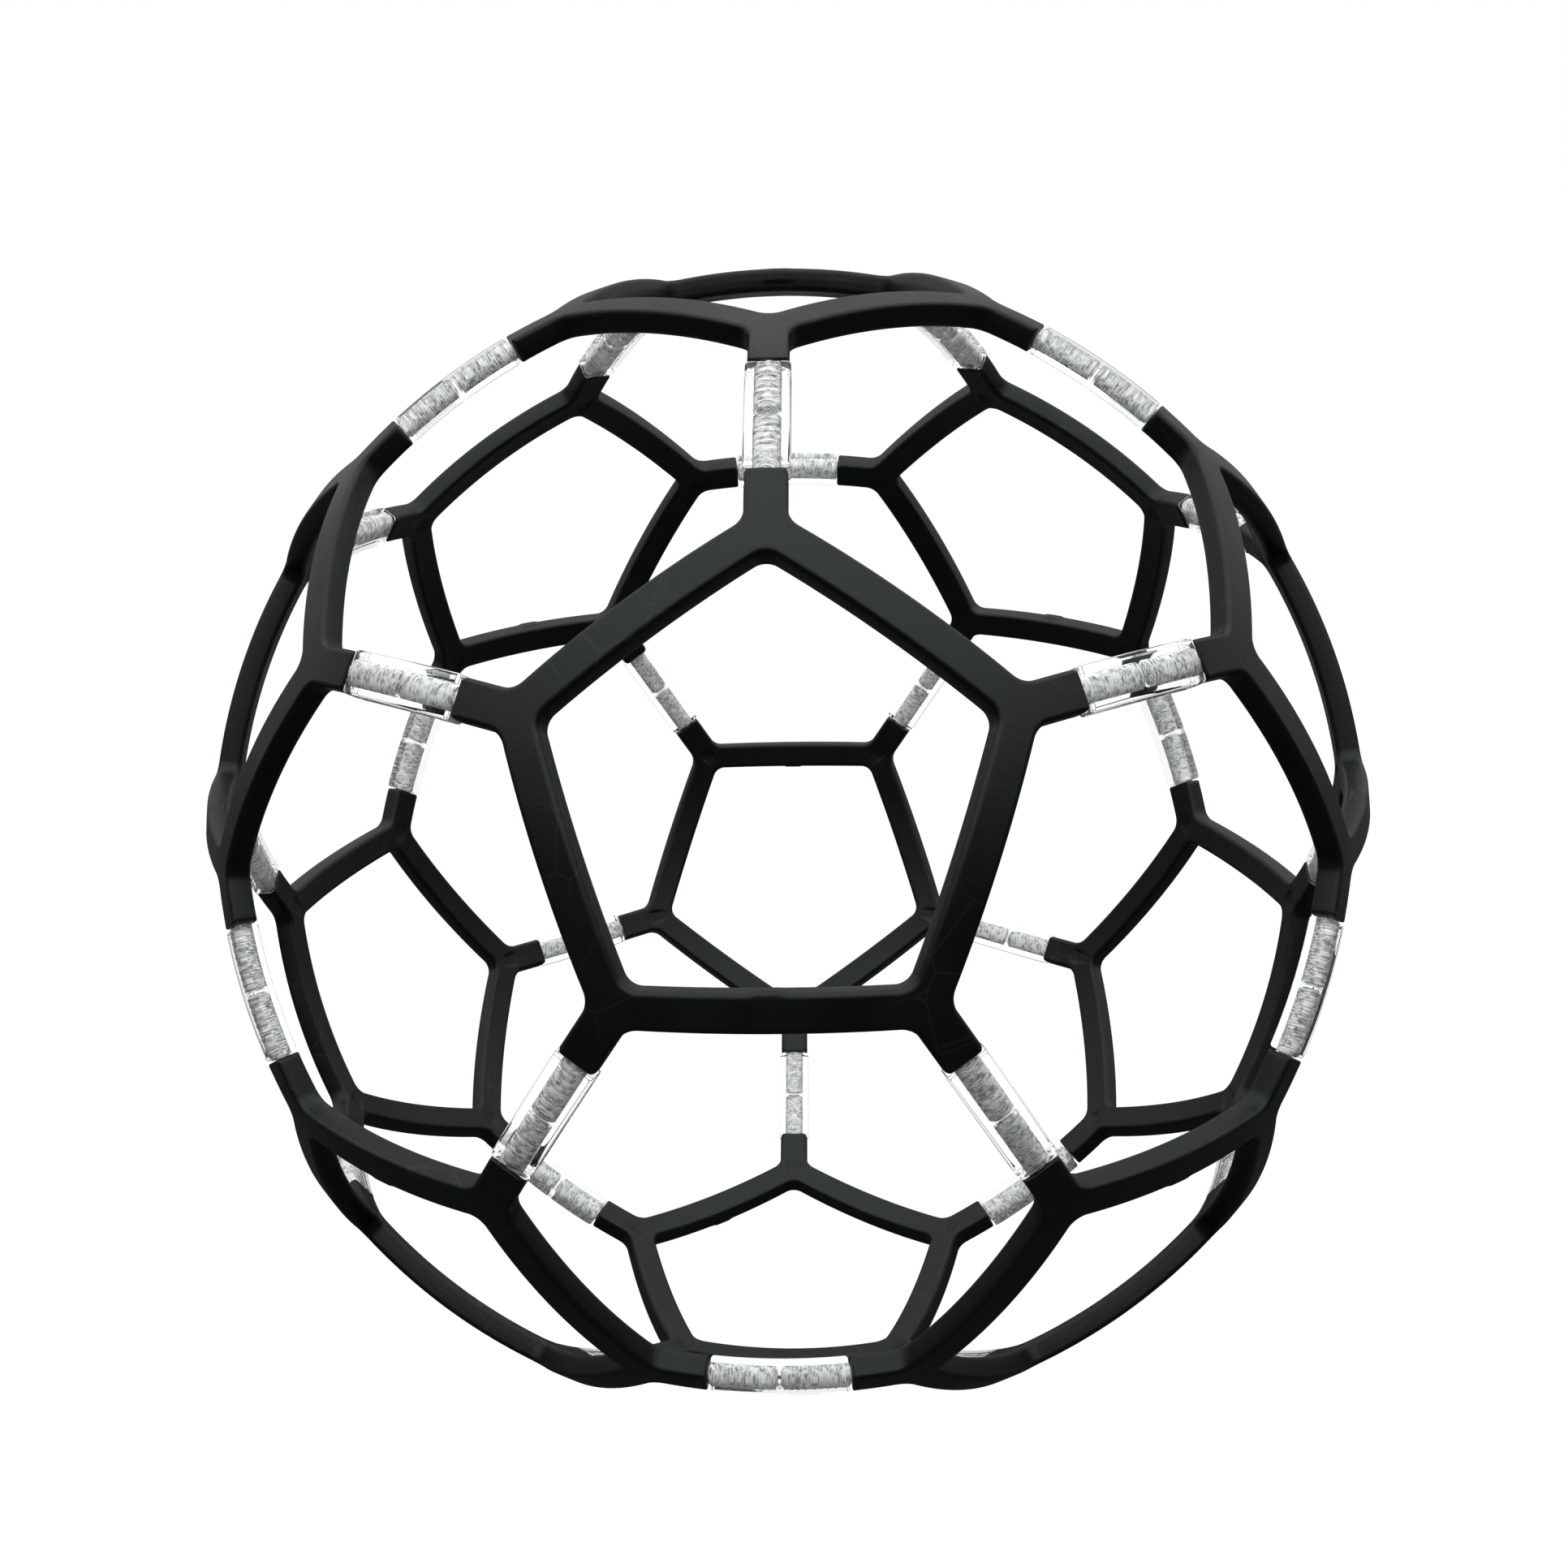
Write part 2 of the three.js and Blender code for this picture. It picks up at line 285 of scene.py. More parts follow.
# %% Rows of the profile
EDGE_ROUND = 0.8  # the rounded long edges of bars and arms
END_ROUND = 0.28  # the tighter edge round an arm's end
DRAFT = 0.05  # how far each wall leans from the mould's parting line to its edge
LAND_SHARES = np.array([0.0, 0.04, 0.12, 0.22, 0.32, 0.42, 0.52, 0.62, 0.72, 0.82, 0.9, 0.96, 1.0])
ROUND_TURNS = np.linspace(0, math.pi / 2, 6)
WALL_SHARES = np.linspace(1, -1, 9)
UPPER_WALL = 4  # wall rows above the parting line


def profile_rows():
    """Rows of (share of the way from window to outline, inset in edge rounds, half depths, edge
    rounds of height, draft), all the way round the section."""
    flat = [(t, 1.0, 1.0, 0.0, 1.0) for t in LAND_SHARES[:-1]]
    over = [(1.0, 1 - math.sin(a), 1.0, -(1 - math.cos(a)), 1.0) for a in ROUND_TURNS[:-1]]
    wall = [(1.0, 0.0, s, -s, abs(s)) for s in WALL_SHARES]
    half = flat + over + wall[:UPPER_WALL]
    seam = wall[UPPER_WALL]
    lower = [(t, i, -h, -r, d) for t, i, h, r, d in reversed(half)]
    side = over[1:] + wall[:UPPER_WALL]
    falling = [(0.0, i, -h, -r, d) for _, i, h, r, d in side]
    rising = [(0.0, i, h, r, d) for _, i, h, r, d in reversed(side)]
    return np.array(half + [seam] + lower + falling + [(0.0,) + seam[1:]] + rising)


rows = profile_rows()
ROWS = len(rows)
print("the profile has", ROWS, "rows, so a frame has", STATIONS * ROWS, "points before its sockets")

# %% Where each station's edge round tightens
half_edge = np.full(HALF_STEPS, EDGE_ROUND)
tip_start = BAR_STEPS + ROOT_STEPS + SIDE_STEPS
ease = np.clip((np.arange(HALF_STEPS) - tip_start) / TIP_STEPS, 0, 1)
half_edge += (END_ROUND - EDGE_ROUND) * ease * ease * (3 - 2 * ease)
corner_edge = np.concatenate([half_edge, half_edge[-1:], half_edge[:0:-1]])
outline_edge = np.tile(corner_edge, CORNER_COUNT)

# %% [markdown]
# ## Marks of the mould
#
# Each real frame shows where it was made: a thin tab left by the gate on one bar, in the
# window, and a shallow round dimple under every arm's root, on the side that faces the ball's
# centre, where a pin pushed the frame out of the mould.

# %% Gate tab and dimples
GATE_HALF_LENGTH, GATE_PROUD = 2.1, 0.28
GATE_SLOPE = 0.3  # the length over which each end of the tab rises
GATE_LOW = -0.1  # where the tab starts on the wall, in frame depths from the parting line
DIMPLE_RADIUS, DIMPLE_DEPTH = 2.0, 0.35
DIMPLE_SLOPE = 0.7  # the width of the dimple's sloping side
DIMPLE_OUTWARD = 0.6  # from the crossing of the bars' middle lines, out along the arm


def smooth(x):
    """Nought below nought, one above one, and x x (3 - 2 x) between."""
    x = np.clip(x, 0, 1)
    return x * x * (3 - 2 * x)


def frame_surface():
    """Stations by rows of points about +Z.

    Each row lies at share t of the way from the window's edge to the outline, both first moved
    inwards along their normals by the row's inset and draft, and at the row's height."""
    t, inset, half_depths, rounds, lean = (rows[:, i] for i in range(5))
    grid_edge = outline_edge[:, None] * inset + DRAFT * lean
    sill_edge = np.full((STATIONS, 1), EDGE_ROUND) * inset + DRAFT * lean
    outer = outline[:, None] - outline_out[:, None] * grid_edge[..., None]
    inner = window[:, None] - window_out[:, None] * sill_edge[..., None]
    plan = inner + (outer - inner) * t[None, :, None]
    edge_here = EDGE_ROUND + (outline_edge[:, None] - EDGE_ROUND) * t
    height = FRAME_DEPTH / 2 * half_depths + edge_here * rounds

    # the gate tab stands into the window from the bar across from the first arm
    across = window @ np.array([-1.0, 0.0])
    along = window @ np.array([0.0, 1.0])
    on_gate_bar = across > window_edge - 0.2
    by_gate = smooth((GATE_HALF_LENGTH + GATE_SLOPE - np.abs(along)) / GATE_SLOPE) * on_gate_bar
    on_wall = (t == 0) & (inset < 0.7) & (height.mean(0) > GATE_LOW * FRAME_DEPTH)
    plan = plan + window_out[:, None] * (GATE_PROUD * by_gate[:, None] * on_wall)[..., None]

    # dimples in the inner land, one under each arm's root
    root_at = MIDDLE_RADIUS * math.tan(CORNER_ANGLE) + DIMPLE_OUTWARD
    for corner in range(CORNER_COUNT):
        spot = turned(np.array([root_at, 0.0]), corner * CORNER_STEP)
        far = np.linalg.norm(plan - spot, axis=-1)
        dip = DIMPLE_DEPTH * smooth((DIMPLE_RADIUS - far) / DIMPLE_SLOPE)
        height = height + dip * ((half_depths == -1) & (rounds == 0))[None, :]
    return lay_on_sphere(plan, height)


surface = frame_surface()
print("frame surface", surface.shape, "reaches",
      np.linalg.norm(surface, axis=-1).max().round(3), "mm from the centre")

# %% [markdown]
# ## Faces, and sockets in the arms
#
# The grid closes on itself both ways, like a ring. At each arm's end a block of eight by eight
# faces is taken out and its border is joined to a round mouth, with a bored socket behind it
# for the link's pin.

# %% Grid faces


def ring_faces(stations, rings):
    """Quads between each point, the next station's and the next ring's, closed both ways."""
    i, j = np.meshgrid(np.arange(stations), np.arange(rings), indexing="ij")
    i2, j2 = (i + 1) % stations, (j + 1) % rings
    return np.stack([i * rings + j, i2 * rings + j, i2 * rings + j2, i * rings + j2], -1)


def joined_loops(first, second):
    """Quads between two closed loops of the same length."""
    return np.stack([first, np.roll(first, -1), np.roll(second, -1), second], -1)


# %% Sockets
SOCKET_SPAN = 8
SOCKET_DIAMETER = PIN_DIAMETER + 2 * PIN_CLEARANCE
MOUTH_CHAMFER = 0.12
SOCKET_RINGS = [(SOCKET_DIAMETER / 2 + MOUTH_CHAMFER, 0.0), (SOCKET_DIAMETER / 2, MOUTH_CHAMFER),
                (SOCKET_DIAMETER / 2, PIN_ENGAGEMENT - 0.2),
                (SOCKET_DIAMETER / 2 - 0.25, PIN_ENGAGEMENT + PIN_CLEARANCE)]


def frame_with_sockets():
    """The grid's points and faces, with a round pocket let into the end of every arm."""
    points = [surface.reshape(-1, 3)]
    quads = ring_faces(STATIONS, ROWS)
    keep = np.ones(quads.shape[:2], bool)
    new_quads, fans, total = [], [], STATIONS * ROWS
    wall_first = len(LAND_SHARES) - 1 + len(ROUND_TURNS) - 1
    for corner in range(CORNER_COUNT):
        turn = corner * CORNER_STEP
        middle = corner * 2 * HALF_STEPS + HALF_STEPS
        lo_s, lo_r = middle - SOCKET_SPAN // 2, wall_first
        hi_s, hi_r = lo_s + SOCKET_SPAN, wall_first + SOCKET_SPAN
        keep[lo_s:hi_s, lo_r:hi_r] = False
        s = np.concatenate([np.arange(lo_s, hi_s), np.full(SOCKET_SPAN, hi_s),
                            np.arange(hi_s, lo_s, -1), np.full(SOCKET_SPAN, lo_s)])
        r = np.concatenate([np.full(SOCKET_SPAN, lo_r), np.arange(lo_r, hi_r),
                            np.full(SOCKET_SPAN, hi_r), np.arange(hi_r, lo_r, -1)])
        border = s * ROWS + r
        radial = np.array([math.cos(turn) * math.sin(ARM_END_ANGLE),
                           math.sin(turn) * math.sin(ARM_END_ANGLE), math.cos(ARM_END_ANGLE)])
        sideways = np.array([-math.sin(turn), math.cos(turn), 0.0])
        onwards = np.cross(sideways, radial)
        mouth_centre = radial * MIDDLE_RADIUS
        spokes = points[0][border] - mouth_centre
        angle = np.arctan2(spokes @ radial, spokes @ sideways)
        loop = border
        for radius, deep in SOCKET_RINGS:
            ring = (mouth_centre - onwards * deep
                    + radius * (np.cos(angle)[:, None] * sideways + np.sin(angle)[:, None] * radial))
            points.append(ring)
            new_loop = total + np.arange(len(border))
            total += len(border)
            new_quads.append(joined_loops(loop, new_loop))
            loop = new_loop
        points.append((mouth_centre - onwards * SOCKET_RINGS[-1][1])[None])
        fans.append(np.stack([loop, np.roll(loop, -1), np.full(len(loop), total)], -1))
        total += 1
    return np.concatenate(points), np.concatenate([quads[keep]] + new_quads), np.concatenate(fans)


frame_points, frame_quads, frame_fans = frame_with_sockets()
print("one frame:", len(frame_points), "points,", 2 * len(frame_quads) + len(frame_fans), "triangles")

# %% [markdown]
# ## Turning points into a piece
#
# A helper fills a mesh, makes sure that its faces look outwards by the sign of its volume,
# seats it at the ball's centre in metres, and hangs it on the frame. The object itself stays
# at the origin, so that patterns in its materials stay where they are.

# %% Mesh helpers
RIB_MAP = "along_and_around"  # a pin's own map, in millimetres along it and round it


def signed_volume(points, quads, fans):
    """A sixth of the sum of the triple products of all triangles: above nought if faces look out."""
    tris = np.concatenate([quads[:, [0, 1, 2]], quads[:, [0, 2, 3]], fans])
    a, b, c = (points[tris[:, i]] for i in range(3))
    return (a * np.cross(b, c)).sum() / 6


def facing_out(points, quads, fans):
    """The same faces, turned round if the volume comes out below nought."""
    if signed_volume(points, quads, fans) < 0:
        return quads[:, ::-1], fans[:, ::-1]
    return quads, fans


def master_mesh(name, points, quads, fans):
    """A smooth-shaded mesh in millimetres about the ball's centre, to be copied and turned."""
    quads, fans = facing_out(points, quads, fans)
    mesh = bpy.data.meshes.new(name)
    mesh.from_pydata(points, [], quads.tolist() + fans.tolist())
    mesh.polygons.foreach_set("use_smooth", np.ones(len(mesh.polygons), bool))
    return mesh


def axes_of(axis, towards):
    """Rows of a turn that takes +Z to axis and +X as near to towards as it can."""
    y = unit(np.cross(axis, towards))
    return np.stack([np.cross(y, axis), y, axis])


def give_rib_map(mesh, along, around):
    """A UV map with each corner's place along a pin and round it, from its vertex's values."""
    corners = np.empty(len(mesh.loops), np.int32)
    mesh.loops.foreach_get("vertex_index", corners)
    places = np.stack([along[corners], around[corners]], -1).astype(np.float32)
    mesh.uv_layers.new(name=RIB_MAP).data.foreach_set("uv", places.ravel())


def seat(name, mesh, points, turn, material, node):
    """A copy of a mesh, turned, moved to the ball's centre, and standing for its CAD node."""
    copy = mesh.copy()
    copy.name = name
    placed = (points @ turn + BALL_CENTRE) * MM
    copy.vertices.foreach_set("co", placed.astype(np.float32).ravel())
    copy.update()
    copy.materials.append(material)
    piece = bpy.data.objects.new(name, copy)
    bpy.context.scene.collection.objects.link(piece)
    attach(piece, "root")
    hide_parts(node)
    return piece


# %% [markdown]
# ## Where frames and links sit
#
# The twelve axes are those of an icosahedron: one up, one down, and two rings of five. A frame
# goes on every axis with its first arm towards a pole, and a link goes half way between each
# pair of neighbours.

# %% Axes


def ring_axes(elevation, first_turn):
    """Five axes at an elevation, equally spaced round +Z."""
    turns = first_turn + np.arange(CORNER_COUNT) * CORNER_STEP
    return np.stack([np.cos(turns) * math.cos(elevation), np.sin(turns) * math.cos(elevation),
                     np.full(CORNER_COUNT, math.sin(elevation))], -1)


FRONT = -math.pi / 2
TOP, BOTTOM = np.array([0.0, 0.0, 1.0]), np.array([0.0, 0.0, -1.0])
UPPER, LOWER = ring_axes(RING_ELEVATION, FRONT), ring_axes(-RING_ELEVATION, FRONT + CORNER_STEP / 2)

frame_seats = {"top": (TOP, UPPER[0]), "bottom": (BOTTOM, LOWER[0])}
link_seats = {}
for k in range(CORNER_COUNT):
    n, nxt = k + 1, (k + 1) % CORNER_COUNT
    frame_seats[f"upper_{n}"] = (UPPER[k], TOP)
    frame_seats[f"lower_{n}"] = (LOWER[k], BOTTOM)
    link_seats[f"top_{n}"] = (TOP, UPPER[k])
    link_seats[f"upper_{n}"] = (UPPER[k], UPPER[nxt])
    link_seats[f"waist_down_{n}"] = (UPPER[k], LOWER[k])
    link_seats[f"waist_up_{n}"] = (LOWER[k], UPPER[nxt])
    link_seats[f"lower_{n}"] = (LOWER[k], LOWER[nxt])
    link_seats[f"bottom_{n}"] = (LOWER[k], BOTTOM)
print(len(frame_seats), "frames and", len(link_seats), "links to seat")

# %% [markdown]
# ## Shared effects in the materials
#
# Three effects are used by more than one material, so each is a node group with named inputs:
# a fine moulded grain, a slow cloudy variation from handling, and scattered fine scratches.
# All of them read Object coordinates. The groups give only values, and the shader stays in
# each material.

# %% Node helpers


def new_group(name, inputs, outputs):
    """An empty shader node group with its sockets, and its input and output nodes."""
    group = bpy.data.node_groups.new(name, "ShaderNodeTree")
    for label, kind, value in inputs:
        socket = group.interface.new_socket(label, in_out="INPUT", socket_type=kind)
        if value is not None:
            socket.default_value = value
    for label, kind in outputs:
        group.interface.new_socket(label, in_out="OUTPUT", socket_type=kind)
    return group, group.nodes.new("NodeGroupInput"), group.nodes.new("NodeGroupOutput")


def noise_node(tree, scale, detail, roughness=0.5):
    """A noise texture with its settings."""
    node = tree.nodes.new("ShaderNodeTexNoise")
    node.inputs["Scale"].default_value = scale
    node.inputs["Detail"].default_value = detail
    node.inputs["Roughness"].default_value = roughness
    return node


def map_range(tree, source, low, high, to_low, to_high):
    """The value of a socket taken from one range to another, and kept inside it."""
    node = tree.nodes.new("ShaderNodeMapRange")
    ends = {"From Min": low, "From Max": high, "To Min": to_low, "To Max": to_high}
    for label, value in ends.items():
        node.inputs[label].default_value = value
    tree.links.new(source, node.inputs["Value"])
    return node.outputs["Result"]


def arithmetic(tree, kind, first, second):
    """A maths node of one kind on two sockets or numbers."""
    node = tree.nodes.new("ShaderNodeMath")
    node.operation = kind
    for value, socket in ((first, node.inputs[0]), (second, node.inputs[1])):
        if isinstance(value, (int, float)):
            socket.default_value = value
        else:
            tree.links.new(value, socket)
    return node.outputs["Value"]


# %% Moulded grain
grain, grain_in, grain_out = new_group(
    "moulded_grain",
    [("Coordinates", "NodeSocketVector", None), ("Scale", "NodeSocketFloat", 2500.0)],
    [("Height", "NodeSocketFloat"), ("Mottle", "NodeSocketFloat")])
grain_noise = noise_node(grain, 2500.0, 3.0, 0.6)
grain_cells = grain.nodes.new("ShaderNodeTexVoronoi")
grain.links.new(grain_in.outputs["Coordinates"], grain_noise.inputs["Vector"])
grain.links.new(grain_in.outputs["Coordinates"], grain_cells.inputs["Vector"])
grain.links.new(grain_in.outputs["Scale"], grain_noise.inputs["Scale"])
grain.links.new(grain_in.outputs["Scale"], grain_cells.inputs["Scale"])
grain_sum = arithmetic(grain, "ADD", grain_noise.outputs["Fac"], grain_cells.outputs["Distance"])
grain.links.new(map_range(grain, grain_sum, 0.3, 1.6, 0.0, 1.0), grain_out.inputs["Height"])
grain.links.new(grain_noise.outputs["Fac"], grain_out.inputs["Mottle"])

# %% Handling clouds
clouds, clouds_in, clouds_out = new_group(
    "handling_clouds",
    [("Coordinates", "NodeSocketVector", None), ("Scale", "NodeSocketFloat", 60.0)],
    [("Mask", "NodeSocketFloat")])
cloud_noise = noise_node(clouds, 60.0, 4.0, 0.55)
clouds.links.new(clouds_in.outputs["Coordinates"], cloud_noise.inputs["Vector"])
clouds.links.new(clouds_in.outputs["Scale"], cloud_noise.inputs["Scale"])
cloud_mask = map_range(clouds, cloud_noise.outputs["Fac"], 0.35, 0.65, 0.0, 1.0)
clouds.links.new(cloud_mask, clouds_out.inputs["Mask"])

# %% Fine scratches
scratches, scratches_in, scratches_out = new_group(
    "fine_scratches",
    [("Coordinates", "NodeSocketVector", None), ("Scale", "NodeSocketFloat", 90.0)],
    [("Mask", "NodeSocketFloat")])
scratch_warp = noise_node(scratches, 40.0, 2.0)
scratch_lines = scratches.nodes.new("ShaderNodeTexVoronoi")
scratch_lines.feature = "DISTANCE_TO_EDGE"
scratches.links.new(scratches_in.outputs["Coordinates"], scratch_warp.inputs["Vector"])
scratches.links.new(scratches_in.outputs["Coordinates"], scratch_lines.inputs["Vector"])
scratches.links.new(scratches_in.outputs["Scale"], scratch_lines.inputs["Scale"])
thin = map_range(scratches, scratch_lines.outputs["Distance"], 0.0, 0.02, 1.0, 0.0)
patchy = map_range(scratches, scratch_warp.outputs["Fac"], 0.52, 0.62, 0.0, 1.0)
scratches.links.new(arithmetic(scratches, "MULTIPLY", thin, patchy), scratches_out.inputs["Mask"])
print("node groups:", [g.name for g in bpy.data.node_groups])

# %% [markdown]
# ## Black moulded plastic
#
# The frames are a satin black: almost no colour of their own, a soft broad gloss, and a fine
# grain from the mould. The gloss is a little uneven where hands have held it, and patches of
# hairline scratches break it up close to. The shine itself has a trace of green in it, which
# the specular tint gives, so that the black doesn't turn warm under a white light.

# %% Material base


def start_material(name):
    """A material with its Principled shader and Object coordinates."""
    material = bpy.data.materials.new(name)
    material.use_nodes = True
    tree = material.node_tree
    shader = next(n for n in tree.nodes if n.type == "BSDF_PRINCIPLED")
    coordinates = tree.nodes.new("ShaderNodeTexCoord").outputs["Object"]
    return material, tree, shader, coordinates


def use_group(tree, group, coordinates, scale):
    """A placed copy of a node group, reading the given coordinates at a scale."""
    node = tree.nodes.new("ShaderNodeGroup")
    node.node_tree = group
    tree.links.new(coordinates, node.inputs["Coordinates"])
    node.inputs["Scale"].default_value = scale
    return node


def blend_colours(tree, mask, first, second):
    """The first colour where the mask is nought, the second where it is one."""
    node = tree.nodes.new("ShaderNodeMix")
    node.data_type = "RGBA"
    colours = [socket for socket in node.inputs if socket.type == "RGBA"]
    for socket, colour in zip(colours, (first, second)):
        if isinstance(colour, tuple):
            socket.default_value = colour
        else:
            tree.links.new(colour, socket)
    tree.links.new(mask, node.inputs[0])
    return next(socket for socket in node.outputs if socket.type == "RGBA")


def add_bump(tree, shader, height, strength, distance):
    """A bump node from a height, feeding the shader's normal."""
    node = tree.nodes.new("ShaderNodeBump")
    node.inputs["Strength"].default_value = strength
    node.inputs["Distance"].default_value = distance
    tree.links.new(height, node.inputs["Height"])
    tree.links.new(node.outputs["Normal"], shader.inputs["Normal"])


# %% Frame black
frame_black, tree, shader, spot = start_material("frame_black")
fine = use_group(tree, grain, spot, 2600.0)
cloudy = use_group(tree, clouds, spot, 70.0)
scuffed = use_group(tree, scratches, spot, 130.0)
DEEP_BLACK, WORN_BLACK = (0.0010, 0.0018, 0.0016, 1), (0.0018, 0.0028, 0.0026, 1)
SCRATCH_GREY, SCRATCH_STRENGTH = (0.05, 0.052, 0.053, 1), 0.12
base = blend_colours(tree, cloudy.outputs["Mask"], DEEP_BLACK, WORN_BLACK)
scratch_mask = arithmetic(tree, "MULTIPLY", scuffed.outputs["Mask"], SCRATCH_STRENGTH)
base = blend_colours(tree, scratch_mask, base, SCRATCH_GREY)
tree.links.new(base, shader.inputs["Base Color"])
gloss = map_range(tree, cloudy.outputs["Mask"], 0.0, 1.0, 0.33, 0.42)
gloss = arithmetic(tree, "ADD", gloss, arithmetic(tree, "MULTIPLY", fine.outputs["Mottle"], 0.06))
tree.links.new(gloss, shader.inputs["Roughness"])
shader.inputs["Specular IOR Level"].default_value = 0.5
shader.inputs["IOR"].default_value = 1.5
shader.inputs["Specular Tint"].default_value = (0.90, 1.0, 0.97, 1)
add_bump(tree, shader, fine.outputs["Height"], 0.35, 0.00004)

# %% [markdown]
# ## Clear plastic and frosted pins
#
# The links are clear and hard, with a faint cool tint. Solid acrylic has an index of 1.49, but
# a plain block drawn with that value swells the pins inside it until they fill it. An index of
# 1.25 keeps the pins near their own width, still turns light back at a link's end faces, and a
# thin coat gives back some of the gloss. The pins are the same plastic, but ribbed and rough
# all over, so they scatter light and look frosted grey with pale streaks across them.

# %% Link clear
link_clear, tree, shader, spot = start_material("link_clear")
cloudy = use_group(tree, clouds, spot, 110.0)
scuffed = use_group(tree, scratches, spot, 220.0)
shader.inputs["Transmission Weight"].default_value = 1.0
shader.inputs["IOR"].default_value = 1.25
shader.inputs["Coat Weight"].default_value = 0.15
shader.inputs["Coat Roughness"].default_value = 0.05
CLEAREST, CLOUDIEST = (0.985, 0.995, 0.992, 1), (0.965, 0.985, 0.98, 1)
tint = blend_colours(tree, cloudy.outputs["Mask"], CLEAREST, CLOUDIEST)
tree.links.new(tint, shader.inputs["Base Color"])
gloss = arithmetic(tree, "ADD", map_range(tree, cloudy.outputs["Mask"], 0.0, 1.0, 0.0, 0.03),
                   arithmetic(tree, "MULTIPLY", scuffed.outputs["Mask"], 0.10))
tree.links.new(gloss, shader.inputs["Roughness"])
add_bump(tree, shader, cloudy.outputs["Mask"], 0.12, 0.0001)

# %% Pin frosted
pin_frosted, tree, shader, spot = start_material("pin_frosted")
fine = use_group(tree, grain, spot, 900.0)
cloudy = use_group(tree, clouds, spot, 420.0)
rib_map = tree.nodes.new("ShaderNodeUVMap")
rib_map.uv_map = RIB_MAP
streaks = noise_node(tree, 1.0, 4.0, 0.7)
stretch = tree.nodes.new("ShaderNodeMapping")
stretch.inputs["Scale"].default_value = (4.2, 0.9, 1.0)
tree.links.new(rib_map.outputs["UV"], stretch.inputs["Vector"])
tree.links.new(stretch.outputs["Vector"], streaks.inputs["Vector"])
STREAK_GREY, STREAK_WHITE, FLECK_WHITE = (0.15, 0.16, 0.155, 1), (0.98, 1.0, 0.99, 1), (0.96, 0.97, 0.96, 1)
streak_mask = map_range(tree, streaks.outputs["Fac"], 0.44, 0.58, 0.0, 1.0)
fleck_mask = map_range(tree, fine.outputs["Height"], 0.5, 0.7, 0.0, 0.7)
base = blend_colours(tree, streak_mask, STREAK_GREY, STREAK_WHITE)
base = blend_colours(tree, fleck_mask, base, FLECK_WHITE)
shader.inputs["Transmission Weight"].default_value = 0.5
shader.inputs["IOR"].default_value = 1.2
tree.links.new(base, shader.inputs["Base Color"])
tree.links.new(map_range(tree, cloudy.outputs["Mask"], 0.0, 1.0, 0.35, 0.6), shader.inputs["Roughness"])
add_bump(tree, shader, streaks.outputs["Fac"], 0.8, 0.0002)
print("materials:", [m.name for m in (frame_black, link_clear, pin_frosted)])

# %% Seat the twelve frames
frame_master = master_mesh("moulded_frame", frame_points, frame_quads, frame_fans)
for where, (axis, towards) in frame_seats.items():
    seat(f"moulded_frame_{where}", frame_master, frame_points, axes_of(axis, towards),
         frame_black, f"pentagon_frame_{where}")
print("seated", len(frame_seats), "frames, volume of one",
      round(abs(signed_volume(frame_points, frame_quads, frame_fans))), "cubic millimetres")

# %% [markdown]
# ## The clear bodies of the links
#
# A link's body is a rounded rectangle carried along the sphere. At each end its shoulders are
# rounded, the end face runs in to an oval mouth, and a blind bore takes the pin, whose core is
# a little wider than it is deep. The body is one grid, from the floor of one bore, over the
# outside, to the floor of the other.

# %% A rounded section
LINK_RELIEF = 0.05  # how far the clear body's faces stay back from where they could reach
LINK_HALF_WIDTH = ARM_WIDTH / 2 + LINK_STAND_OUT - LINK_RELIEF
LINK_HALF_DEPTH = FRAME_DEPTH / 2 - LINK_RELIEF
LINK_EDGE = 0.6
SHOULDER = 0.5
CORE_RADIUS = 1.6
CORE_SHAPE = np.array([1.13, 0.80])  # the core is a little wider than it is deep
CORE_GAP = 0.28  # from a pin's inner end to the middle of the link
PRESS = 0.02  # how far a pin bites into its bore
SECTION_SIDE, SECTION_CORNER = 5, 6


def section(half_width, half_depth, radius):
    """Points of a rounded rectangle, sideways and up: straight sides and quarter circles."""
    corners = np.array([[1, 1], [-1, 1], [-1, -1], [1, -1]]) * [half_width - radius, half_depth - radius]
    turns = np.linspace(0, math.pi / 2, SECTION_CORNER)
    loops = []
    for i, corner in enumerate(corners):
        angle = turns + i * math.pi / 2
        bend = corner + radius * np.stack([np.cos(angle), np.sin(angle)], -1)
        following = corners[(i + 1) % 4] + radius * np.array([math.cos(angle[-1]), math.sin(angle[-1])])
        share = np.arange(1, SECTION_SIDE)[:, None] / SECTION_SIDE
        loops += [bend, bend[-1] + (following - bend[-1]) * share]
    return np.concatenate(loops)


def carry(angles, sections):
    """Sections set across an arc in the XZ plane: at each angle from +Z towards +X, a point goes
    sideways along Y and up along the radius."""
    radial = np.stack([np.sin(angles), np.zeros_like(angles), np.cos(angles)], -1)
    up = (MIDDLE_RADIUS + sections[..., 1])[..., None] * radial[:, None]
    return up + sections[..., 0][..., None] * np.array([0.0, 1.0, 0.0])


def tube_faces(rings, around):
    """Quads between rings of points one after another, closed round each ring only."""
    i, j = np.meshgrid(np.arange(rings - 1), np.arange(around), indexing="ij")
    j2 = (j + 1) % around
    grid = np.stack([i * around + j, i * around + j2, (i + 1) * around + j2, (i + 1) * around + j], -1)
    return grid.reshape(-1, 4)


